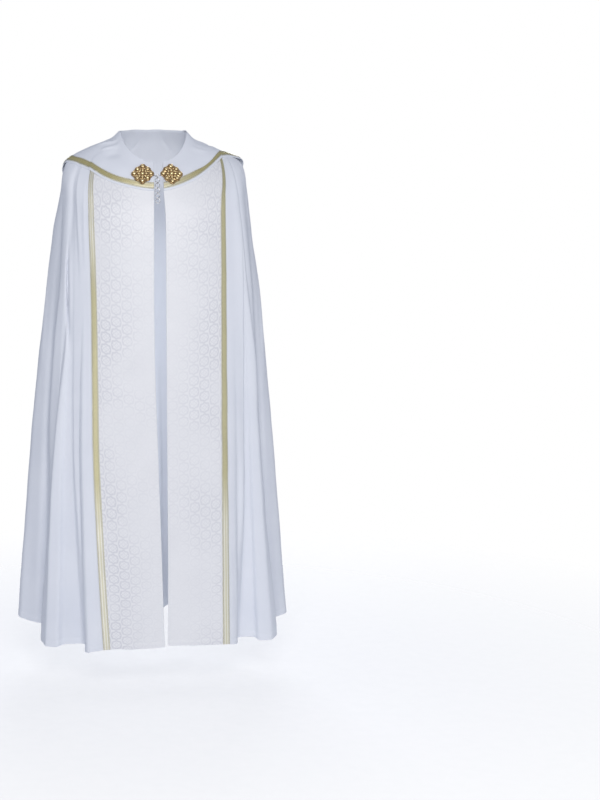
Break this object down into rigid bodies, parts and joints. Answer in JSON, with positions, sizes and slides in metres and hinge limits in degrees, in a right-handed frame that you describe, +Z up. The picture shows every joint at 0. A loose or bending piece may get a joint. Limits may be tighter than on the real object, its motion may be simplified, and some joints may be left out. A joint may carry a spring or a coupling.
{
  "type": "cope vestment",
  "caption": "Worn white cope: an ankle-length open cloak with patterned front bands edged in gold braid, a pointed back hood, and a hooked metal clasp with a short ring chain.",
  "frame": {"origin": "middle of the neck opening, level with the sides of the neck, where the wearer's shoulders hold the garment", "axes": "+Z up, the front with its opening faces -Y, +X towards the left side of the wearer; the garment is longest along Z and shallowest along Y"},
  "size_m": [0.764, 0.5083, 1.3882],
  "materials": {
    "white_cloth": "cool white wool and polyester blend, fine twill, matt",
    "damask": "white on white damask, satin figures on a duller ground",
    "gold_braid": "woven pale gold galloon with a fine interlaced mesh",
    "antique_gold": "cast filigree with an aged gold plating",
    "silver_wire": "plated steel wire, slightly dulled"
  },
  "bodies": {
    "root": {"mantle": "white_cloth", "orphrey_left": "damask", "orphrey_right": "damask", "galloon_left": "gold_braid", "galloon_right": "gold_braid", "hood": "white_cloth", "hood_galloon_left": "gold_braid", "hood_galloon_right": "gold_braid", "clasp_left": "antique_gold", "clasp_right": "antique_gold", "clasp_hook": "silver_wire", "clasp_eye": "silver_wire"},
    "chain_1": {"chain_link_1": "silver_wire", "chain_ring_1": "silver_wire"},
    "chain_2": {"chain_link_2": "silver_wire", "chain_ring_2": "silver_wire"},
    "chain_3": {"chain_link_3": "silver_wire", "chain_ring_3": "silver_wire"},
    "chain_4": {"chain_link_4": "silver_wire", "chain_ring_4": "silver_wire"},
    "chain_5": {"chain_link_5": "silver_wire", "chain_ring_5": "silver_wire"}
  },
  "joints": [
    {"name": "chain_swing_1", "type": "hinge", "parent": "root", "child": "chain_1", "pos_m": [0.0005, -0.11873, -0.12058], "axis": [0, -0.9677, 0.2521], "range_deg": [-15, 15]},
    {"name": "chain_swing_2", "type": "hinge", "parent": "chain_1", "child": "chain_2", "pos_m": [0.0005, -0.12224, -0.13403], "axis": [0, -0.9677, 0.2521], "range_deg": [-15, 15]},
    {"name": "chain_swing_3", "type": "hinge", "parent": "chain_2", "child": "chain_3", "pos_m": [0.0005, -0.12574, -0.14748], "axis": [0, -0.9677, 0.2521], "range_deg": [-15, 15]},
    {"name": "chain_swing_4", "type": "hinge", "parent": "chain_3", "child": "chain_4", "pos_m": [0.0005, -0.12924, -0.16093], "axis": [0, -0.9677, 0.2521], "range_deg": [-15, 15]},
    {"name": "chain_swing_5", "type": "hinge", "parent": "chain_4", "child": "chain_5", "pos_m": [0.0005, -0.13275, -0.17439], "axis": [0, -0.9677, 0.2521], "range_deg": [-15, 15]}
  ]
}
